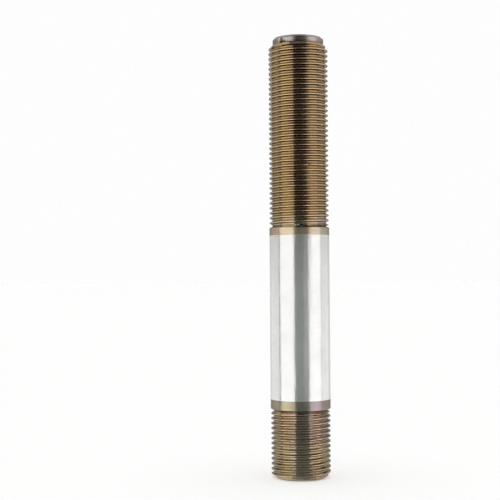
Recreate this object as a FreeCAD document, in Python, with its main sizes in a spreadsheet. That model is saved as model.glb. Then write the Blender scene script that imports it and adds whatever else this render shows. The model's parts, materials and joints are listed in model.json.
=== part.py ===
import FreeCAD, Part
import os

import Sketcher
from FreeCAD import Vector

# A draw stud: one turned steel bar that a hydraulic ram pulls and a knockout punch is screwed on to.
# It stands on its short, ram end. The Z axis is the axis of the bar, and its origin is the centre of
# the foot. The threaded lengths are held at the diameter of their crests, with the relief groove that
# each thread runs out into, because the thread itself is too fine to cut here.

OUT_FOLDER = "parts"
NODE = "draw_stud"

# Driving sizes in millimetres: name, value and what it measures
SIZES = [
    ("ram_thread_length", 21.2, "foot to the lower shoulder"),
    ("shank_length", 58.45, "lower shoulder to upper shoulder"),
    ("punch_thread_length", 57.95, "upper shoulder to the end of the lead-in cone"),
    ("tip_length", 2.1, "pilot tip above the lead-in cone"),
    ("thread_diameter", 18.9, "over the crests of both threads"),
    ("relief_depth", 0.975, "how far each relief groove lies below the crests"),
    ("relief_width", 0.35, "floor of each relief groove along the bar"),
    ("shank_diameter", 19.05, "plain shank as turned, at its two collars"),
    ("ram_bevel_length", 0.8, "lower shoulder bevel along the bar"),
    ("punch_bevel_length", 0.5, "upper shoulder bevel along the bar"),
    ("ram_collar_length", 3.7, "lower shoulder to the ground band"),
    ("punch_collar_length", 2.9, "ground band to the upper shoulder"),
    ("grinding_depth", 0.025, "how far the ground band lies below the collars"),
    ("foot_face_diameter", 15.5, "flat face that the stud stands on"),
    ("foot_chamfer_length", 1.4, "foot chamfer along the bar"),
    ("lead_in_length", 1.4, "cone between the long thread and the pilot tip"),
    ("tip_diameter", 16.16, "pilot tip"),
    ("tip_chamfer", 0.6, "45 degree chamfer round the end face"),
]

# Radii and heights that several features share, as expressions on the sheet
THREAD_RADIUS = "Sizes.thread_diameter / 2"
RELIEF_RADIUS = "Sizes.thread_diameter / 2 - Sizes.relief_depth"
SHANK_RADIUS = "Sizes.shank_diameter / 2"
WIDEST_RADIUS = "max(Sizes.thread_diameter; Sizes.shank_diameter) / 2"
GROUND_RADIUS = "Sizes.shank_diameter / 2 - Sizes.grinding_depth"
TIP_RADIUS = "Sizes.tip_diameter / 2"
FOOT_RADIUS = "Sizes.foot_face_diameter / 2"
LOWER_SHOULDER = "Sizes.ram_thread_length"
UPPER_SHOULDER = LOWER_SHOULDER + " + Sizes.shank_length"
TIP_BASE = UPPER_SHOULDER + " + Sizes.punch_thread_length"
TOP = TIP_BASE + " + Sizes.tip_length"
AXIS = "0"

# Every cut starts this far outside the bar
OUTSIDE = WIDEST_RADIUS + " + 1"


def make_sheet(doc):
    """The spreadsheet with one named cell for each driving size."""
    sheet = doc.addObject("Spreadsheet::Sheet", "Sizes")
    for row, (name, value, meaning) in enumerate(SIZES, start=1):
        sheet.set(f"A{row}", name)
        sheet.set(f"B{row}", str(value))
        sheet.set(f"C{row}", meaning)
        sheet.setAlias(f"B{row}", name)
    return sheet


def value_of(sheet, expression):
    """What an expression on the sheet comes to, in millimetres."""
    return float(sheet.evalExpression(expression))


def half_section(body, sheet, name, corners):
    """A closed outline in the plane through the axis: each corner is a radius and a height."""
    sketch = body.newObject("Sketcher::SketchObject", name)
    plane = next(item for item in body.Origin.OriginFeatures if item.Role == "XZ_Plane")
    sketch.AttachmentSupport = (plane, [""])
    sketch.MapMode = "FlatFace"

    points = [Vector(value_of(sheet, radius), value_of(sheet, height), 0) for radius, height in corners]
    following = points[1:] + points[:1]
    for start, end in zip(points, following):
        sketch.addGeometry(Part.LineSegment(start, end), False)
    for line in range(len(points)):
        next_line = (line + 1) % len(points)
        sketch.addConstraint(Sketcher.Constraint("Coincident", line, 2, next_line, 1))

    for line, corner in enumerate(corners):
        for kind, expression in zip(("DistanceX", "DistanceY"), corner):
            value = value_of(sheet, expression)
            constraint = sketch.addConstraint(Sketcher.Constraint(kind, -1, 1, line, 1, value))
            sketch.setExpression(f"Constraints[{constraint}]", expression)
    return sketch


def turn(body, kind, name, sketch):
    """A full turn of a half section about the axis of the bar."""
    feature = body.newObject(kind, name)
    feature.Profile = sketch
    feature.ReferenceAxis = (sketch, ["V_Axis"])
    feature.Angle = 360
    sketch.Visibility = False
    return feature


def turn_blank(body, sheet):
    """The stepped bar with its foot chamfer, lead-in cone and pilot tip."""
    corners = [
        (AXIS, AXIS),
        (FOOT_RADIUS, AXIS),
        (THREAD_RADIUS, "Sizes.foot_chamfer_length"),
        (THREAD_RADIUS, LOWER_SHOULDER),
        (SHANK_RADIUS, LOWER_SHOULDER),
        (SHANK_RADIUS, UPPER_SHOULDER),
        (THREAD_RADIUS, UPPER_SHOULDER),
        (THREAD_RADIUS, TIP_BASE + " - Sizes.lead_in_length"),
        (TIP_RADIUS, TIP_BASE),
        (TIP_RADIUS, TOP + " - Sizes.tip_chamfer"),
        (TIP_RADIUS + " - Sizes.tip_chamfer", TOP),
        (AXIS, TOP),
    ]
    sketch = half_section(body, sheet, "BlankOutline", corners)
    return turn(body, "PartDesign::Revolution", "Blank", sketch)


def cut_ring(body, sheet, name, corners):
    """A turned groove: what the corners enclose is taken off all round the bar."""
    sketch = half_section(body, sheet, name + "Outline", corners)
    return turn(body, "PartDesign::Groove", name, sketch)


def relief_corners(shoulder, towards_thread, towards_shank, bevel_length):
    """A relief groove beside a shoulder, whose bevel runs down to the floor of the groove."""
    thread_end = f"{shoulder} {towards_thread} Sizes.relief_width"
    bevel_end = f"{shoulder} {towards_shank} {bevel_length}"
    return [
        (RELIEF_RADIUS, shoulder),
        (RELIEF_RADIUS, thread_end),
        (OUTSIDE, thread_end),
        (OUTSIDE, bevel_end),
        (SHANK_RADIUS, bevel_end),
    ]


def ground_band_corners():
    """The ground length of the shank between its two collars."""
    low = LOWER_SHOULDER + " + Sizes.ram_collar_length"
    high = UPPER_SHOULDER + " - Sizes.punch_collar_length"
    return [(GROUND_RADIUS, low), (OUTSIDE, low), (OUTSIDE, high), (GROUND_RADIUS, high)]


def build_stud(doc, sheet):
    """The stud as it is machined: the blank is turned, relieved beside its shoulders and ground."""
    body = doc.addObject("PartDesign::Body", "DrawStud")
    body.Label = NODE
    steps = [turn_blank(body, sheet)]
    doc.recompute()
    cuts = [
        ("RamRelief", relief_corners(LOWER_SHOULDER, "-", "+", "Sizes.ram_bevel_length")),
        ("PunchRelief", relief_corners(UPPER_SHOULDER, "+", "-", "Sizes.punch_bevel_length")),
        ("GroundBand", ground_band_corners()),
    ]
    for name, corners in cuts:
        steps.append(cut_ring(body, sheet, name, corners))
        doc.recompute()
    body.Placement = FreeCAD.Placement()
    return body, steps


def check(doc, body, steps):
    """Stop before anything is written if a feature failed or a cut took nothing away."""
    for item in doc.Objects:
        if "Invalid" in item.State or "Error" in item.State:
            raise RuntimeError(f"{item.Name} is {item.State}")
    for before, after in zip(steps, steps[1:]):
        if after.Shape.Volume >= before.Shape.Volume:
            raise RuntimeError(f"{after.Name} removes no metal")
    if body.Shape.isNull() or not body.Shape.isValid() or len(body.Shape.Solids) != 1:
        raise RuntimeError(f"{body.Label} is not one valid solid")


def main():
    doc = FreeCAD.newDocument("DrawStud")
    sheet = make_sheet(doc)
    doc.recompute()
    body, steps = build_stud(doc, sheet)
    doc.recompute()
    check(doc, body, steps)
    os.makedirs(OUT_FOLDER, exist_ok=True)
    body.Shape.exportStep(os.path.join(OUT_FOLDER, body.Label + ".step"))
    box = body.Shape.BoundBox
    size = f"{box.XLength:.2f} x {box.YLength:.2f} x {box.ZLength:.2f} mm"
    print(f"{body.Label}: {size}, {body.Shape.Volume:.0f} cubic mm")


main()
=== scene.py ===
import bisect
import json
import math

import bpy
import numpy as np
from mathutils import Matrix, Vector


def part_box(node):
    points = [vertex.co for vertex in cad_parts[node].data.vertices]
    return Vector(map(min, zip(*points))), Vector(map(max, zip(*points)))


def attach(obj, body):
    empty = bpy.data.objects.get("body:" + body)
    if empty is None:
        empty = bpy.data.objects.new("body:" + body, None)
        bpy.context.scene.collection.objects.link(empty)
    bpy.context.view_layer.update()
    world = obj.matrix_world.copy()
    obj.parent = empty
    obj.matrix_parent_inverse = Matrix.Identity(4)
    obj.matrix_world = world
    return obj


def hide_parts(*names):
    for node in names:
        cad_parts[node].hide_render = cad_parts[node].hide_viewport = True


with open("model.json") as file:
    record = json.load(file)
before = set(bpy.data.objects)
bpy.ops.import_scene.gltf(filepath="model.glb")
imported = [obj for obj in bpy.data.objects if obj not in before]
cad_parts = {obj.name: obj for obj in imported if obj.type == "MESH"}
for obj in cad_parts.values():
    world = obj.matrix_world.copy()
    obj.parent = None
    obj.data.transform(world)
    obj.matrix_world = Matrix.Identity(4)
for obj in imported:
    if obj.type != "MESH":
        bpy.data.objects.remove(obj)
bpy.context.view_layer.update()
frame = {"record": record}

# The visual model of a draw stud: one steel bar with two real threads, turned shoulders and a ground
# shank. Lengths are metres and angles degrees unless a name says otherwise. The Z axis is the axis of
# the bar and the camera looks along +Y, so the front of the bar is its -Y side. An azimuth turns about
# the Z axis: 0 is towards the camera and 90 is towards +X.

MM = 0.001
NODE = "draw_stud"


def wall_of(mount_name):
    """Radius and the two ends, low and high, of the wall that a pin mount of the record measures."""
    mount = next(item for item in frame["record"]["mounts"] if item["name"] == mount_name)
    middle = mount["pos_m"][2]
    half = mount["dims"]["length_mm"] * MM / 2
    return mount["dims"]["r_mm"] * MM, middle - half, middle + half


# Sizes that the frame gives
_, STUD_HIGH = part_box(NODE)
COLLAR_RADIUS = STUD_HIGH.x
TOP = STUD_HIGH.z
CREST_RADIUS, FOOT_CHAMFER_TOP, RAM_THREAD_END = wall_of("ram_thread")
_, PUNCH_THREAD_START, LEAD_IN_START = wall_of("punch_thread")
GROUND_RADIUS, LOWER_BEVEL_END, UPPER_BEVEL_END = wall_of("plain_shank")

# Sizes that only the construction holds, repeated from it
RELIEF_DEPTH = 0.975 * MM
RELIEF_WIDTH = 0.35 * MM
RAM_COLLAR_LENGTH = 3.7 * MM
PUNCH_COLLAR_LENGTH = 2.9 * MM
FOOT_RADIUS = 7.75 * MM
TIP_RADIUS = 8.08 * MM
TIP_LENGTH = 2.1 * MM
TIP_CHAMFER = 0.6 * MM

# What follows from both
RELIEF_RADIUS = CREST_RADIUS - RELIEF_DEPTH
LOWER_SHOULDER = RAM_THREAD_END + RELIEF_WIDTH
UPPER_SHOULDER = PUNCH_THREAD_START - RELIEF_WIDTH
BAND_START = LOWER_SHOULDER + RAM_COLLAR_LENGTH
BAND_END = UPPER_SHOULDER - PUNCH_COLLAR_LENGTH
TIP_BASE = TOP - TIP_LENGTH
RIM = TOP - TIP_CHAMFER

# The thread: 16 turns an inch, right-hand, with round crests and roots
PITCH = 25.4 / 16 * MM
FLANK_ANGLE = 30
CREST_ARC_RADIUS = 0.22 * MM
ROOT_ARC_RADIUS = 0.24 * MM
RAM_CREST_AT_FRONT = 0.05 * PITCH
PUNCH_CREST_AT_FRONT = 0.11 * PITCH
RUN_OUT_FLOOR = 0.05 * MM

# Marks of use: azimuth, height, half width, half height, radius of the surface there and depth, where
# a depth below zero is a burr
NICK = [
    (-42, 138.3 * MM, 0.6 * MM, 1.0 * MM, TIP_RADIUS, 0.4 * MM),
    (-35, 137.9 * MM, 0.8 * MM, 0.4 * MM, TIP_RADIUS, 0.3 * MM),
    (-50, 138.6 * MM, 0.5 * MM, 0.6 * MM, TIP_RADIUS, -0.14 * MM),
]

# Dents in the crests: azimuth and height of those in front, the size that all have, and how many more
# are scattered over the back
DENTS = [
    (-50.5, 94.85 * MM), (-7.6, 88.3 * MM), (18.8, 98.9 * MM), (-5.7, 95.8 * MM), (5.3, 100.5 * MM),
    (-12.7, 19.5 * MM), (6.6, 18.5 * MM), (17.4, 18.5 * MM), (-58, 12.5 * MM), (-24, 1.6 * MM),
]
DENT_SIZE = (0.6 * MM, 0.8 * MM, CREST_RADIUS, 0.16 * MM)
BACK_DENTS = 24
BACK_START = 90
BACK_END = 270
GOLDEN_SHARE = 0.618

# Fineness of the mesh: columns round the bar, rows up the tip, angles of the rows on a crest and
# degrees of a card that one face spans
COLUMNS = 120
TIP_ROWS = 7
CREST_ROW_ANGLES = (10, 35)
CARD_STEP = 4

# Turns of the grid beyond each end of a thread, and how near to an end ring a point joins it
SPARE_TURNS = 2
SNAP = 0.02 * MM

# Edges: how far a rounded edge reaches and drops, the distance of the ring that supports an edge, the
# stretch that is long enough for two of them, and the angle above which an edge stays sharp
EDGE_BREAK = 0.05 * MM
EDGE_DROP = EDGE_BREAK / 4
FLANK_SUPPORT = 0.05 * MM
SUPPORT = 0.06 * MM
LONG_STRETCH = 4 * SUPPORT
SMOOTH_BELOW = 38

# Colours, as the share of light that each gives back
GROUND_BRIGHT = (0.86, 0.855, 0.84)
GROUND_DULL = (0.81, 0.81, 0.795)
GROUND_RINGS = (0.62, 0.62, 0.60)
# Pale crests: wear, and a painted highlight that brightens the crest lines
WORN_AND_HIGHLIGHT = (0.78, 0.605, 0.37)
BRUISED = (0.86, 0.80, 0.70)
GRIME = (0.14, 0.10, 0.07)
OXIDE_EDGE_TINT = (0.46, 0.43, 0.39)
FLOOR_COLOUR = (0.78, 0.78, 0.775)

# Roughness, from the smoothest to the roughest spots
GROUND_ROUGHNESS = (0.17, 0.26)
THREAD_ROUGHNESS = (0.09, 0.16)
RAM_THREAD_ROUGHNESS = (0.12, 0.20)
COLLAR_ROUGHNESS = (0.17, 0.26)
TIP_ROUGHNESS = (0.28, 0.38)

# The values of a noise between which something comes in: most of them, or only the high ones
NOISE_SPAN = (0.3, 0.7)
DULL_SPOTS = (0.35, 0.7)
DULL_RINGS = (0.45, 0.8)
PATCH_SPOTS = (0.45, 0.75)
ROUGH_SPOTS = (0.3, 0.75)
GRIME_SPOTS = (0.4, 0.7)
BRUISE_SPOTS = (0.72, 0.79)

# How the heat tints, with the light and shade painted into them, waver: sideways as a share of the
# radius, and up as a share of their fade
SIDE_WAVER = 0.07
FADE_WAVER = 0.3

# Depth below the crests, from where a zone begins to show to where it shows in full, or fades out
CRESTS_FADE = (0.02 * MM, 0.12 * MM)
COLLARS_FADE = (-0.06 * MM, -0.02 * MM)
ROOTS_SHOW = (0.75 * MM, 0.9 * MM)
RELIEFS_FADE = (0.92 * MM, 0.96 * MM)
NICK_DEPTH = CREST_RADIUS - TIP_RADIUS + 0.06 * MM
NICK_SHOWS = (NICK_DEPTH, NICK_DEPTH + 0.08 * MM)
RIM_FADE = (RIM - 0.1 * MM, RIM)

# How much of a zone its wear, with the painted crest highlight, or grime covers, from the least to the
# most
PATCH_SHARE = (0.0, 0.5)
WORN_AND_HIGHLIGHT_SHARE = (0.35, 0.6)
GRIME_SHARE = (0.0, 0.12)
# How much of the nick in the tip is coloured dark
NICK_SHARE = 0.85
GROUND_RING_SHARE = (0.0, 0.35)

# The floor: half its side, and its own light for the camera and for what the metal mirrors
FLOOR_HALF = 6.0
FLOOR_GLOW = 0.455

# The surround by the sine of the height above the horizon, with its brightness: white low down, dark
# above the light boxes, grey overhead
SKY = [(0.35, 0.985), (0.52, 0.015), (0.86, 0.015), (0.97, 0.25)]

# The soft light from straight above, which lights the floor evenly and leaves the metal to the cards
LAMP_WIDTH = 45
LAMP_STRENGTH = 1.4

# The cards stand round the stud, and their mirror strips and rings lie just above the table
CARD_DISTANCE = 0.45
CARD_TOP = 0.27
TALL_CARD_TOP = 1.2
STRIP_START = 0.025
STRIP_HEIGHT = 0.0005
SHADE_HEIGHT = STRIP_HEIGHT + MM
RING_HEIGHT = 0.0004

# Where a card's radiance changes: on the table by distance from the stud, and up the card by height
TABLE_FADE = (0.06, 0.10)
CARD_FADE = (0.07, 0.11)

# Azimuths of the two light boxes and of the gap between them, dark on its left and grey on its right
LEFT_BOX_START = -80.5
GAP_START = -20.7
GREY_START = 15
GAP_END = 34.6
RIGHT_BOX_END = 87

WHITE_CARD = (1.0, 1.0, 1.0)
DARK_CARD = (0.92, 1.0, 0.93)
GREY_CARD = (0.96, 1.0, 0.96)

# Cards: name, azimuths of both ends, radiance, and colour and top where they aren't the usual ones. A
# radiance is one value or three: on the table near the stud, at its level and above it
CARDS = [
    ("edge_left", -165, -140, (1.0, 0.74, 0.42)),
    ("wall_left", -140, -86.5, (1.1, 0.93, 0.45)),
    ("left_frame", -86.5, LEFT_BOX_START, 0.35),
    ("light_box_left", LEFT_BOX_START, GAP_START, (2.1, 1.18, 1.2)),
    ("dark_gap", GAP_START, GREY_START, (0.42, 0.385, 0.014), DARK_CARD, TALL_CARD_TOP),
    ("grey_gap", GREY_START, GAP_END, (0.44, 0.52, 0.014), GREY_CARD, TALL_CARD_TOP),
    ("light_box_right", GAP_END, RIGHT_BOX_END, (2.1, 1.2, 1.22)),
    ("right_frame", RIGHT_BOX_END, 90, 0.6),
    ("wall_right", 90, 138, (1.1, 0.98, 0.5)),
    ("edge_right", 138, 165, (1.0, 0.72, 0.44)),
    ("wall_behind", 165, 195, 0.5),
]

# Flags in front of the cards and above them: name, azimuths of both ends, (distance, height) of the two
# long edges, radiance, and colour where it isn't white
FLAG_DISTANCE = CARD_DISTANCE - 0.01
FLAG_FOOT = (FLAG_DISTANCE, 0.105)
FLAG_TOP = (FLAG_DISTANCE, CARD_TOP)
FLAGS = [
    ("flag_left", -24.5, GAP_START, FLAG_FOOT, FLAG_TOP, 0.5),
    ("flag_right", GAP_END, 42, FLAG_FOOT, FLAG_TOP, 0.03),
    ("flag_right_edge", 42, 47, FLAG_FOOT, FLAG_TOP, 0.4),
    ("gap_shade", GAP_START, GREY_START, (FLAG_DISTANCE, 0.068), (FLAG_DISTANCE, 0.09), 0.21, DARK_CARD),
    ("flag_above", GAP_START, 41.6, (CARD_DISTANCE, TALL_CARD_TOP), (0.2, 1.3), 0.03),
    ("back_light", 105, 255, (CARD_DISTANCE, 0.4), (0.3, 0.96), 0.8),
]

# Rings of painted shade lying just above the table round the foot, which only the metal mirrors; they
# stand in for shade on the table near the stud. Name, azimuths of both ends, inner and outer distance,
# height and radiance
UNDER_FOOT_START = 0.006
UNDER_FOOT_END = 0.0145
RINGS = [
    ("table_shade", GAP_START, GAP_END, 0.08, 0.19, SHADE_HEIGHT, 0.07),
    ("contact_shade", 0, 360, UNDER_FOOT_END, 0.028, RING_HEIGHT, 0.12),
    ("under_foot", GAP_END, GAP_START + 360, UNDER_FOOT_START, UNDER_FOOT_END, RING_HEIGHT, 0.8),
    ("under_foot_front", GAP_START, GAP_END, UNDER_FOOT_START, UNDER_FOOT_END, RING_HEIGHT, 0.3),
]

# Camera, as the photograph was taken
FOCAL_LENGTH_MM = 86.4
SENSOR_MM = 36
CAMERA_DISTANCE = 0.3828
CAMERA_HEIGHT = 0.0656
CAMERA_PITCH = 1.0
CAMERA_YAW = 2.36
CAMERA_ROLL = 0.41
CLIP_START = 0.01
CLIP_END = 20


def half_profile():
    """The thread form from the middle of a crest to the root: (distance along the bar, depth)."""
    flank_slope = math.tan(math.radians(FLANK_ANGLE))
    tangent_angle = 90 - FLANK_ANGLE
    sharp_depth = PITCH / 2 / flank_slope - CREST_ARC_RADIUS
    root_depth = sharp_depth - ROOT_ARC_RADIUS

    def crest_arc(angle):
        turn = math.radians(angle)
        return CREST_ARC_RADIUS * math.sin(turn), CREST_ARC_RADIUS * (1 - math.cos(turn))

    def flank(depth):
        return (depth + CREST_ARC_RADIUS) * flank_slope, depth

    def root_arc(angle):
        turn = math.radians(angle)
        along = PITCH / 2 - ROOT_ARC_RADIUS * math.sin(turn)
        return along, root_depth - ROOT_ARC_RADIUS * (1 - math.cos(turn))

    crest_tangent_depth = crest_arc(tangent_angle)[1]
    root_tangent_depth = root_arc(tangent_angle)[1]
    return [
        *[crest_arc(angle) for angle in CREST_ROW_ANGLES],
        crest_arc(tangent_angle),
        flank(crest_tangent_depth + FLANK_SUPPORT),
        flank(root_tangent_depth - FLANK_SUPPORT),
        root_arc(tangent_angle),
        root_arc(tangent_angle / 2),
        root_arc(0),
    ]


def one_turn_profile():
    """The thread form over one pitch, from crest to crest, as heights above a crest and depths."""
    half = half_profile()
    falling = half[:-1]
    root = half[-1]
    rising = [(PITCH - along, depth) for along, depth in reversed(falling)]
    return np.array(falling + [root] + rising)


def piecewise(corners):
    """A radius that runs in straight lines through (height, radius) corners."""
    heights, radii = zip(*corners)
    return lambda z: np.interp(z, heights, radii)


def supported(corners):
    """The corners, with a ring close to both ends of each long stretch to keep its gloss straight."""
    rings = list(corners[:1])
    for (low, low_radius), (high, high_radius) in zip(corners, corners[1:]):
        if high - low > LONG_STRETCH:
            share = SUPPORT / (high - low)
            step = (high_radius - low_radius) * share
            rings += [(low + SUPPORT, low_radius + step), (high - SUPPORT, high_radius - step)]
        rings.append((high, high_radius))
    return rings


def marks_of_use():
    """Every mark: the nick in the tip, the dents that show in front and more of them behind."""
    marks = NICK + [(azimuth, height, *DENT_SIZE) for azimuth, height in DENTS]
    for k in range(BACK_DENTS):
        azimuth = BACK_START + (BACK_END - BACK_START) * (k * GOLDEN_SHARE % 1)
        height = FOOT_CHAMFER_TOP + (LEAD_IN_START - FOOT_CHAMFER_TOP) * (k + 0.5) / BACK_DENTS
        marks.append((azimuth, height, *DENT_SIZE))
    return marks


def with_marks(points):
    """The points with each dent pressed in and each burr raised."""
    x, y, z = points.T
    radius = np.hypot(x, y)
    outer = np.maximum(radius, SNAP)
    direction = np.stack([x / outer, y / outer], axis=1)
    azimuth = np.degrees(np.arctan2(x, -y))
    for middle, height, half_width, half_height, surface, depth in marks_of_use():
        turned = (azimuth - middle + 180) % 360 - 180
        across = np.radians(turned) * radius / half_width
        along = (z - height) / half_height
        share = np.clip(1 - across ** 2 - along ** 2, 0, 1)
        if depth > 0:
            pressed = np.minimum(radius, surface - depth * share)
            radius = np.where(share > 0, pressed, radius)
        else:
            radius = radius - depth * share
    return np.column_stack([direction * radius[:, None], z])


class Surface:
    """The skin of the bar, gathered ring by ring from the foot to the tip."""

    def __init__(self):
        self.points = []
        self.faces = []
        self.count = 0
        self.turn = np.arange(COLUMNS) * (2 * math.pi / COLUMNS)

    def add_points(self, angle, radius, height):
        """Adds points and returns their numbers, in the shape of the arrays given."""
        radius = np.broadcast_to(radius, np.shape(angle))
        height = np.broadcast_to(height, np.shape(angle))
        block = np.stack([radius * np.cos(angle), radius * np.sin(angle), height], axis=-1)
        self.points.append(block.reshape(-1, 3))
        numbers = np.arange(self.count, self.count + angle.size).reshape(angle.shape)
        self.count += angle.size
        return numbers

    def ring(self, height, radius):
        return self.add_points(self.turn, radius, height)

    def join(self, lower, upper):
        """A band of quads between two rings."""
        quads = np.stack([lower, np.roll(lower, -1), np.roll(upper, -1), upper], axis=1)
        self.faces += quads.tolist()

    def rings(self, start, corners):
        """Rings through (height, radius) corners, joined on to the ring at the start."""
        last = start
        for height, radius in corners:
            following = self.ring(height, radius)
            self.join(last, following)
            last = following
        return last

    def disc(self, ring, height, upward):
        """Closes an end with a fan of triangles round its centre."""
        centre = int(self.add_points(np.zeros(1), 0, height)[0])
        following = np.roll(ring, -1)
        first, second = (ring, following) if upward else (following, ring)
        self.faces += [[int(a), int(b), centre] for a, b in zip(first, second)]

    def thread(self, bottom, z_low, z_high, crest_at_front, envelope):
        """Real turns between two heights, on a grid that climbs one pitch a turn.

        bottom is the ring that they stand on. The envelope holds the radius down at the ends, and has
        to lie below the root there, so that both end rings are plain circles.
        """
        profile = one_turn_profile()
        rows_per_turn = len(profile)
        front = -math.pi / 2
        lowest_turn = math.floor((z_low - crest_at_front) / PITCH) - SPARE_TURNS
        turns = math.ceil((z_high - z_low) / PITCH) + 2 * SPARE_TURNS + 1
        turn_heights = [(lowest_turn + k) * PITCH + profile[:, 0] for k in range(turns)]
        row_heights = np.concatenate(turn_heights)
        row_depths = np.tile(profile[:, 1], turns)
        climb = PITCH * (self.turn - front) / (2 * math.pi)
        height = crest_at_front + row_heights[:, None] + climb[None, :]
        angle = np.broadcast_to(self.turn, height.shape)
        radius = np.minimum(CREST_RADIUS - row_depths[:, None], envelope(height))

        numbers = self.add_points(angle, radius, height)
        top = self.ring(z_high, float(envelope(z_high)))
        numbers = np.where(height < z_low + SNAP, bottom[None, :], numbers)
        numbers = np.where(height > z_high - SNAP, top[None, :], numbers)
        last_column = np.concatenate([numbers[rows_per_turn:, 0], np.repeat(top[0], rows_per_turn)])
        wrapped = np.concatenate([numbers, last_column[:, None]], axis=1)
        lower, upper = wrapped[:-1], wrapped[1:]
        quads = np.stack([lower[:, :-1], lower[:, 1:], upper[:, 1:], upper[:, :-1]], axis=-1)
        for quad in quads.reshape(-1, 4).tolist():
            corners = list(dict.fromkeys(quad))
            if len(corners) > 2:
                self.faces.append(corners)
        return top

    def mesh(self, name):
        """The finished mesh without the points that no face uses."""
        points = with_marks(np.concatenate(self.points))
        used = np.unique(np.concatenate([np.array(face) for face in self.faces]))
        renumber = np.zeros(len(points), dtype=int)
        renumber[used] = np.arange(len(used))
        mesh = bpy.data.meshes.new(name)
        faces = [[int(renumber[corner]) for corner in face] for face in self.faces]
        mesh.from_pydata(points[used].tolist(), [], faces)
        mesh.validate()
        return mesh


def shank_corners():
    """The shank from the lower bevel to the upper relief groove, as (height, radius)."""
    return [
        (LOWER_BEVEL_END - EDGE_BREAK, COLLAR_RADIUS - EDGE_BREAK),
        (LOWER_BEVEL_END, COLLAR_RADIUS - EDGE_DROP),
        (LOWER_BEVEL_END + EDGE_BREAK, COLLAR_RADIUS),
        (BAND_START - EDGE_BREAK, COLLAR_RADIUS),
        (BAND_START, GROUND_RADIUS),
        (BAND_END, GROUND_RADIUS),
        (BAND_END + EDGE_BREAK, COLLAR_RADIUS),
        (UPPER_BEVEL_END - EDGE_BREAK, COLLAR_RADIUS),
        (UPPER_BEVEL_END, COLLAR_RADIUS - EDGE_DROP),
        (UPPER_BEVEL_END + EDGE_BREAK, COLLAR_RADIUS - EDGE_BREAK),
        (UPPER_SHOULDER, RELIEF_RADIUS),
    ]


def tip_corners():
    """The wall and the chamfer of the pilot tip, as (height, radius)."""
    wall_rows = np.linspace(TIP_BASE + SUPPORT, RIM - EDGE_BREAK, TIP_ROWS)
    return [
        *[(height, TIP_RADIUS) for height in wall_rows],
        (RIM, TIP_RADIUS - EDGE_DROP),
        (TOP - EDGE_BREAK, TIP_RADIUS - TIP_CHAMFER + EDGE_BREAK),
        (TOP, TIP_RADIUS - TIP_CHAMFER),
    ]


def stud_mesh():
    """The stud from the foot up: foot chamfer, short thread, shank, long thread and pilot tip."""
    skin = Surface()

    foot = skin.ring(0, FOOT_RADIUS)
    skin.disc(foot, 0, upward=False)
    ram_envelope = piecewise([
        (0, FOOT_RADIUS),
        (FOOT_CHAMFER_TOP, CREST_RADIUS),
        (RAM_THREAD_END, CREST_RADIUS),
        (LOWER_SHOULDER - RUN_OUT_FLOOR, RELIEF_RADIUS),
        (LOWER_SHOULDER, RELIEF_RADIUS),
    ])
    lower_relief = skin.thread(foot, 0, LOWER_SHOULDER, RAM_CREST_AT_FRONT, ram_envelope)

    upper_relief = skin.rings(lower_relief, supported(shank_corners()))

    punch_envelope = piecewise([
        (UPPER_SHOULDER, RELIEF_RADIUS),
        (UPPER_SHOULDER + RUN_OUT_FLOOR, RELIEF_RADIUS),
        (PUNCH_THREAD_START, CREST_RADIUS),
        (LEAD_IN_START, CREST_RADIUS),
        (TIP_BASE, TIP_RADIUS),
    ])
    tip_foot = skin.thread(
        upper_relief, UPPER_SHOULDER, TIP_BASE, PUNCH_CREST_AT_FRONT, punch_envelope,
    )

    tip_edge = skin.rings(tip_foot, supported(tip_corners()))
    skin.disc(tip_edge, TOP, upward=True)
    return skin.mesh("stud")


def fill_ramp(node, stops):
    """Puts (position, colour) stops, in rising order, on a new colour ramp with a smooth rise."""
    node.color_ramp.interpolation = "EASE"
    elements = node.color_ramp.elements
    while len(elements) < len(stops):
        elements.new(0.5)
    for element, (position, colour) in zip(elements, stops):
        element.position = position
        element.color = colour


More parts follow.
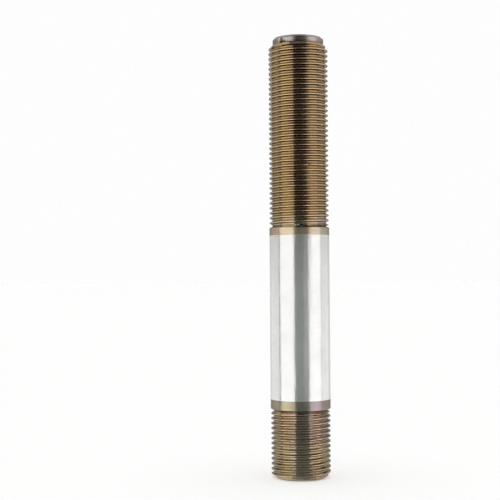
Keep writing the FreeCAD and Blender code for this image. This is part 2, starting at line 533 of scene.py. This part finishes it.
class Shader:
    """The node tree of one material, with a short call for each kind of node it needs."""

    def __init__(self, name, kind="ShaderNodeBsdfPrincipled"):
        self.material = bpy.data.materials.new(name)
        self.material.use_nodes = True
        self.tree = self.material.node_tree
        self.tree.nodes.clear()
        self.surface = self.add(kind)
        output = self.add("ShaderNodeOutputMaterial")
        self.put(output.inputs["Surface"], self.surface.outputs[0])
        self.place = self.add("ShaderNodeTexCoord").outputs["Object"]

    def add(self, kind, inputs=(), **settings):
        node = self.tree.nodes.new(kind)
        for name, value in settings.items():
            setattr(node, name, value)
        for key, value in dict(inputs).items():
            self.put(node.inputs[key], value)
        return node

    def put(self, socket, value):
        """Links an output to a socket, or sets a plain value on it."""
        if isinstance(value, bpy.types.NodeSocket):
            self.tree.links.new(value, socket)
        else:
            socket.default_value = value

    def combine(self, operation, first, second, third=0.0):
        inputs = {0: first, 1: second, 2: third}
        return self.add("ShaderNodeMath", inputs, operation=operation).outputs[0]

    def along(self, axis):
        return self.add("ShaderNodeSeparateXYZ", {0: self.place}).outputs[axis]

    def distance_from_axis(self):
        flat = self.add("ShaderNodeVectorMath", {0: self.place, 1: (1, 1, 0)}, operation="MULTIPLY")
        length = self.add("ShaderNodeVectorMath", {0: flat.outputs[0]}, operation="LENGTH")
        return length.outputs["Value"]

    def noise(self, size, stretch=(1, 1, 1), detail=3.0, shift=(0, 0, 0)):
        """Noise with patches of about one size, drawn out along an axis where stretch is over 1."""
        scale = tuple(1 / (size * factor) for factor in stretch)
        place = self.add(
            "ShaderNodeMapping", {"Vector": self.place, "Location": shift, "Scale": scale},
        )
        settings = {"Vector": place.outputs[0], "Scale": 1.0, "Detail": detail}
        return self.add("ShaderNodeTexNoise", settings).outputs["Fac"]

    def ramp(self, value, low, high, start=0.0, end=1.0):
        """start below low, end above high, and a smooth rise between them."""
        inputs = {"Value": value, 1: low, 2: high, 3: start, 4: end}
        return self.add("ShaderNodeMapRange", inputs, interpolation_type="SMOOTHSTEP").outputs[0]

    def mix(self, factor, first, second):
        """A colour between two, each a socket or three numbers."""
        # The colour sockets of this node are inputs 6 and 7 and output 2
        inputs = {0: factor}
        for key, colour in ((6, first), (7, second)):
            inputs[key] = colour if isinstance(colour, bpy.types.NodeSocket) else (*colour, 1)
        return self.add("ShaderNodeMix", inputs, data_type="RGBA").outputs[2]

    def cover(self, colour, zone, share, coating):
        """The colour with a coating over a share of a zone."""
        return self.mix(self.combine("MULTIPLY", zone, share), colour, coating)

    def tints(self, across, tints):
        """Colours across the bar, each given with its place from -1 on the left to 1 on the right."""
        place = self.combine("MULTIPLY_ADD", across, 0.5, 0.5)
        ramp = self.add("ShaderNodeValToRGB", {"Fac": place})
        fill_ramp(ramp, [((side + 1) / 2, (*colour, 1)) for side, colour in tints])
        return ramp.outputs["Color"]

    def bump(self, height, distance, normal=None):
        inputs = {"Height": height, "Distance": distance}
        if normal is not None:
            inputs["Normal"] = normal
        return self.add("ShaderNodeBump", inputs).outputs[0]

    def finish(self, **sockets):
        for name, value in sockets.items():
            self.put(self.surface.inputs[name.replace("_", " ")], value)
        return self.material


def ground_steel():
    """Bright steel ground round and round: fine rings, faint wavy streaks along the bar."""
    steel = Shader("ground_steel")
    rings = steel.noise(size=0.05 * MM, stretch=(60, 60, 1), detail=4)
    streaks = steel.noise(size=0.5 * MM, stretch=(1, 1, 9), detail=3, shift=(3, 1, 0))
    waves = steel.noise(size=1.6 * MM, stretch=(1, 1, 5), detail=2, shift=(6, 2, 4))
    patches = steel.noise(size=7 * MM, detail=4, shift=(9, 4, 2))
    tone = steel.mix(steel.ramp(patches, *DULL_SPOTS), GROUND_BRIGHT, GROUND_DULL)
    tone = steel.mix(steel.ramp(rings, *DULL_RINGS, *GROUND_RING_SHARE), tone, GROUND_RINGS)
    relief = steel.bump(waves, distance=0.04 * MM)
    relief = steel.bump(streaks, distance=0.018 * MM, normal=relief)
    relief = steel.bump(rings, distance=0.0006 * MM, normal=relief)
    tangent = steel.add("ShaderNodeTangent", direction_type="RADIAL", axis="Z").outputs[0]
    return steel.finish(
        Base_Color=tone, Metallic=0.93, Roughness=steel.ramp(rings, *NOISE_SPAN, *GROUND_ROUGHNESS),
        Anisotropic=0.8, Anisotropic_Rotation=0.25, Tangent=tangent, Normal=relief,
    )


def heat_tinted_steel(name, tints, patch, roughness, low_tints=(), fade=(0, 0)):
    """Steel browned by heat. Its tints run across the bar, each at a share of the radius, with patches.
    They are also painted light and shade: lighter or darker band by band, where the light boxes, the gap
    and the walls are mirrored.

    Between the two heights of fade they go over from low_tints to tints. The crests of the threads are
    worn pale, which also paints a highlight on them, with a few bright bruises; their roots hold grime,
    and a nick in the tip is coloured almost all dark.
    """
    steel = Shader(name)
    patches = steel.noise(size=9 * MM, detail=2, shift=(5, 2, 7))
    blotches = steel.noise(size=4 * MM, stretch=(1, 1, 0.6), detail=3, shift=(1, 8, 3))
    fine = steel.noise(size=0.5 * MM, stretch=(3, 3, 1), detail=2)
    bruises = steel.noise(size=1.1 * MM, detail=1, shift=(2, 6, 4))

    across = steel.combine("DIVIDE", steel.along("X"), COLLAR_RADIUS)
    side_waver = steel.ramp(patches, *NOISE_SPAN, -SIDE_WAVER, SIDE_WAVER)
    across = steel.combine("ADD", across, side_waver)
    # The tints are heat-tint hues and also painted light and shade: their places match the bands of the
    # light boxes, the gap and the walls, and each is lighter or darker with the light of its band
    tint = steel.tints(across, tints)
    if low_tints:
        low, high = fade
        reach = FADE_WAVER * (high - low)
        height_waver = steel.ramp(blotches, *NOISE_SPAN, -reach, reach)
        height = steel.combine("ADD", steel.along("Z"), height_waver)
        tint = steel.mix(steel.ramp(height, low, high), steel.tints(across, low_tints), tint)
    tint = steel.mix(steel.ramp(blotches, *PATCH_SPOTS, *PATCH_SHARE), tint, patch)

    depth = steel.combine("SUBTRACT", CREST_RADIUS, steel.distance_from_axis())
    below_collars = steel.ramp(depth, *COLLARS_FADE)
    crests = steel.combine("MULTIPLY", steel.ramp(depth, *CRESTS_FADE, 1.0, 0.0), below_collars)
    above_reliefs = steel.ramp(depth, *RELIEFS_FADE, 1.0, 0.0)
    roots = steel.combine("MULTIPLY", steel.ramp(depth, *ROOTS_SHOW), above_reliefs)
    below_rim = steel.ramp(steel.along("Z"), *RIM_FADE, 1.0, 0.0)
    nick = steel.combine("MULTIPLY", steel.ramp(depth, *NICK_SHOWS), below_rim)

    # Pale crests: partly wear and partly a painted highlight on the crest lines
    tint = steel.cover(tint, crests, steel.ramp(fine, *NOISE_SPAN, *WORN_AND_HIGHLIGHT_SHARE), WORN_AND_HIGHLIGHT)
    tint = steel.cover(tint, roots, steel.ramp(fine, *GRIME_SPOTS, *GRIME_SHARE), GRIME)
    # The nick in the tip is coloured almost all dark
    tint = steel.cover(tint, nick, NICK_SHARE, GRIME)
    tint = steel.cover(tint, crests, steel.ramp(bruises, *BRUISE_SPOTS), BRUISED)
    return steel.finish(
        Base_Color=tint, Metallic=1.0, Roughness=steel.ramp(fine, *ROUGH_SPOTS, *roughness),
        Specular_Tint=(*OXIDE_EDGE_TINT, 1), Coat_Weight=0.5, Coat_Roughness=0.2,
        Normal=steel.bump(fine, distance=0.0005 * MM),
    )


def ram_thread_steel():
    upper = [
        (-0.8, (0.47, 0.38, 0.27)), (-0.45, (0.40, 0.285, 0.165)), (-0.1, (0.46, 0.405, 0.35)),
        (0.22, (0.44, 0.385, 0.335)), (0.45, (0.36, 0.25, 0.20)), (0.85, (0.38, 0.30, 0.26)),
    ]
    lower = [
        (-0.8, (0.57, 0.49, 0.34)), (-0.45, (0.53, 0.44, 0.25)), (-0.1, (0.54, 0.50, 0.415)),
        (0.22, (0.53, 0.485, 0.40)), (0.45, (0.48, 0.38, 0.24)), (0.85, (0.50, 0.43, 0.30)),
    ]
    return heat_tinted_steel(
        "ram_thread_steel", upper, patch=(0.42, 0.33, 0.24), roughness=RAM_THREAD_ROUGHNESS,
        low_tints=lower, fade=(8.5 * MM, 14.5 * MM),
    )


def ram_collar_steel():
    collar = [
        (-0.72, (0.275, 0.23, 0.145)), (-0.5, (0.51, 0.43, 0.255)), (-0.24, (0.36, 0.32, 0.22)),
        (0.0, (0.30, 0.28, 0.24)), (0.22, (0.34, 0.285, 0.26)), (0.45, (0.41, 0.305, 0.325)),
        (0.78, (0.265, 0.205, 0.18)),
    ]
    # Painted highlight: the bevel under the collar is coloured pale cream for the bright line along its
    # lower edge
    bevel = [(-0.5, (0.85, 0.77, 0.63)), (0.0, (0.85, 0.80, 0.72)), (0.5, (0.85, 0.72, 0.64))]
    return heat_tinted_steel(
        "ram_collar_steel", collar, patch=(0.35, 0.31, 0.26), roughness=COLLAR_ROUGHNESS,
        low_tints=bevel, fade=(LOWER_BEVEL_END - 0.15 * MM, LOWER_BEVEL_END),
    )


def punch_collar_steel():
    collar = [
        (-0.78, (0.55, 0.44, 0.27)), (-0.5, (0.62, 0.52, 0.36)), (-0.2, (0.64, 0.56, 0.38)),
        (0.0, (0.66, 0.58, 0.43)), (0.22, (0.54, 0.42, 0.31)), (0.5, (0.60, 0.485, 0.405)),
        (0.8, (0.51, 0.455, 0.355)),
    ]
    return heat_tinted_steel(
        "punch_collar_steel", collar, patch=(0.46, 0.37, 0.25), roughness=COLLAR_ROUGHNESS,
    )


def punch_thread_steel():
    upper = [
        (-0.8, (0.52, 0.40, 0.225)), (-0.45, (0.565, 0.405, 0.185)), (-0.1, (0.37, 0.265, 0.17)),
        (0.22, (0.36, 0.25, 0.17)), (0.45, (0.52, 0.37, 0.20)), (0.85, (0.50, 0.375, 0.235)),
    ]
    lower = [
        (-0.8, (0.60, 0.54, 0.43)), (-0.45, (0.60, 0.52, 0.37)), (-0.1, (0.55, 0.50, 0.41)),
        (0.22, (0.52, 0.47, 0.39)), (0.45, (0.57, 0.47, 0.34)), (0.85, (0.60, 0.54, 0.46)),
    ]
    return heat_tinted_steel(
        "punch_thread_steel", upper, patch=(0.50, 0.39, 0.22), roughness=THREAD_ROUGHNESS,
        low_tints=lower, fade=(UPPER_SHOULDER, UPPER_SHOULDER + 5 * MM),
    )


def tip_steel():
    upper = [(-0.5, (0.46, 0.42, 0.39)), (0.0, (0.50, 0.45, 0.40)), (0.5, (0.50, 0.42, 0.38))]
    lower = [(-0.5, (0.36, 0.30, 0.23)), (0.5, (0.38, 0.29, 0.22))]
    return heat_tinted_steel(
        "tip_steel", upper, patch=(0.46, 0.40, 0.35), roughness=TIP_ROUGHNESS,
        low_tints=lower, fade=(TIP_BASE, TIP_BASE + 0.9 * MM),
    )


def make_stud():
    """The one piece of the scene, with its own steel for each zone of the bar from the foot up."""
    mesh = stud_mesh()
    piece = bpy.data.objects.new("stud", mesh)
    bpy.context.scene.collection.objects.link(piece)

    zones = [
        (LOWER_SHOULDER, ram_thread_steel()),
        (BAND_START, ram_collar_steel()),
        (BAND_END, ground_steel()),
        (UPPER_SHOULDER, punch_collar_steel()),
        (TIP_BASE, punch_thread_steel()),
        (TOP + MM, tip_steel()),
    ]
    for _, material in zones:
        mesh.materials.append(material)
    zone_tops = [top for top, _ in zones]
    for face in mesh.polygons:
        face.use_smooth = True
        face.material_index = bisect.bisect_right(zone_tops, face.center.z)
    mesh.set_sharp_from_angle(angle=math.radians(SMOOTH_BELOW))

    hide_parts(NODE)
    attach(piece, "root")


def floor_material():
    """Pale and matt, lifted to white for the camera and for what the metal mirrors; it keeps shadows."""
    floor = Shader("pale_floor", "ShaderNodeAddShader")
    rays = floor.add("ShaderNodeLightPath").outputs
    seen = floor.combine("MAXIMUM", rays["Is Camera Ray"], rays["Is Glossy Ray"])
    seen = floor.combine("MAXIMUM", seen, rays["Is Transmission Ray"])
    matt = floor.add("ShaderNodeBsdfDiffuse", {"Color": (*FLOOR_COLOUR, 1)})
    strength = floor.combine("MULTIPLY", seen, FLOOR_GLOW)
    glow = floor.add("ShaderNodeEmission", {"Strength": strength})
    floor.put(floor.surface.inputs[0], matt.outputs[0])
    floor.put(floor.surface.inputs[1], glow.outputs[0])
    return floor.material


def card_material(name, radiance, colour):
    """Light of one radiance, or of three: on the table near the stud, at its level, and above it."""
    card = Shader(name, "ShaderNodeEmission")
    if isinstance(radiance, tuple):
        near, level, above = radiance
        radiance = card.ramp(card.distance_from_axis(), *TABLE_FADE, near, level)
        radiance = card.ramp(card.along("Z"), *CARD_FADE, radiance, above)
    return card.finish(Strength=radiance, Color=(*colour, 1))


def stage_mesh(name, points, faces, material):
    mesh = bpy.data.meshes.new(name)
    mesh.from_pydata(points, [], faces)
    mesh.materials.append(material)
    item = bpy.data.objects.new(name, mesh)
    bpy.context.scene.collection.objects.link(item)
    return item


def bearing(azimuth, distance, height):
    """A point round the stud."""
    turn = math.radians(azimuth)
    return distance * math.sin(turn), -distance * math.cos(turn), height


def bent_card(name, start, end, inner, outer, radiance, colour=WHITE_CARD):
    """A card between two azimuths; inner and outer are the (distance, height) of its two long edges.

    Only the metal mirrors it: the camera doesn't see it, and it neither lights nor shades the floor.
    """
    steps = max(1, round((end - start) / CARD_STEP))
    azimuths = [start + (end - start) * k / steps for k in range(steps + 1)]
    points = [bearing(azimuth, *edge) for azimuth in azimuths for edge in (inner, outer)]
    faces = [(2 * k, 2 * k + 1, 2 * k + 3, 2 * k + 2) for k in range(steps)]
    item = stage_mesh(name, points, faces, card_material(name, radiance, colour))
    for ray in ("camera", "diffuse", "shadow", "transmission"):
        setattr(item, f"visible_{ray}", False)


def card(name, start, end, radiance, colour=WHITE_CARD, top=CARD_TOP):
    """A studio card bent round the stud, and its mirror strip on the table.

    The strip is what a glossy table top would show of the card, so that the low part of the bar
    mirrors the same bands as the rest.
    """
    foot, edge = (CARD_DISTANCE, 0), (CARD_DISTANCE, top)
    bent_card(name, start, end, foot, edge, radiance, colour)
    near, far = (STRIP_START, STRIP_HEIGHT), (CARD_DISTANCE, STRIP_HEIGHT)
    bent_card(name + "_strip", start, end, near, far, radiance, colour)


def make_floor_and_cards():
    """A pale floor, and what the metal mirrors: two light boxes with a dark gap, walls, flags, and rings
    of painted shade.
    """
    half = FLOOR_HALF
    corners = [(-half, -half, 0), (half, -half, 0), (half, half, 0), (-half, half, 0)]
    stage_mesh("floor", corners, [(0, 1, 2, 3)], floor_material())
    for row in CARDS:
        card(*row)
    for row in FLAGS:
        bent_card(*row)
    for name, start, end, inner, outer, height, radiance in RINGS:
        bent_card(name, start, end, (inner, height), (outer, height), radiance)


def make_lamp():
    lamp = bpy.data.lights.new("overhead", "SUN")
    lamp.angle = math.radians(LAMP_WIDTH)
    lamp.energy = LAMP_STRENGTH
    overhead = bpy.data.objects.new("overhead", lamp)
    overhead.visible_glossy = False
    bpy.context.scene.collection.objects.link(overhead)


def make_surround():
    """The world, white low down and dark above the light boxes."""
    world = bpy.data.worlds.new("studio")
    bpy.context.scene.world = world
    world.use_nodes = True
    nodes, links = world.node_tree.nodes, world.node_tree.links
    direction = nodes.new("ShaderNodeTexCoord")
    split = nodes.new("ShaderNodeSeparateXYZ")
    links.new(direction.outputs["Generated"], split.inputs[0])
    sky = nodes.new("ShaderNodeValToRGB")
    fill_ramp(sky, [(rise, (brightness, brightness, brightness, 1)) for rise, brightness in SKY])
    links.new(split.outputs["Z"], sky.inputs["Fac"])
    links.new(sky.outputs["Color"], nodes["Background"].inputs["Color"])


def make_camera():
    """The photograph's camera, level with the lower shank and turned to set the stud right of centre."""
    data = bpy.data.cameras.new("camera")
    data.lens = FOCAL_LENGTH_MM
    data.sensor_width = SENSOR_MM
    data.clip_start = CLIP_START
    data.clip_end = CLIP_END
    camera = bpy.data.objects.new("camera", data)
    bpy.context.scene.collection.objects.link(camera)
    yaw = Matrix.Rotation(math.radians(CAMERA_YAW), 4, "Z")
    pitch = Matrix.Rotation(math.radians(90 + CAMERA_PITCH), 4, "X")
    roll = Matrix.Rotation(math.radians(-CAMERA_ROLL), 4, "Z")
    place = Matrix.Translation(Vector((0, -CAMERA_DISTANCE, CAMERA_HEIGHT)))
    camera.matrix_world = place @ yaw @ pitch @ roll
    bpy.context.scene.camera = camera


make_floor_and_cards()
make_lamp()
make_surround()
make_stud()
make_camera()
bpy.context.scene.view_settings.view_transform = "Standard"
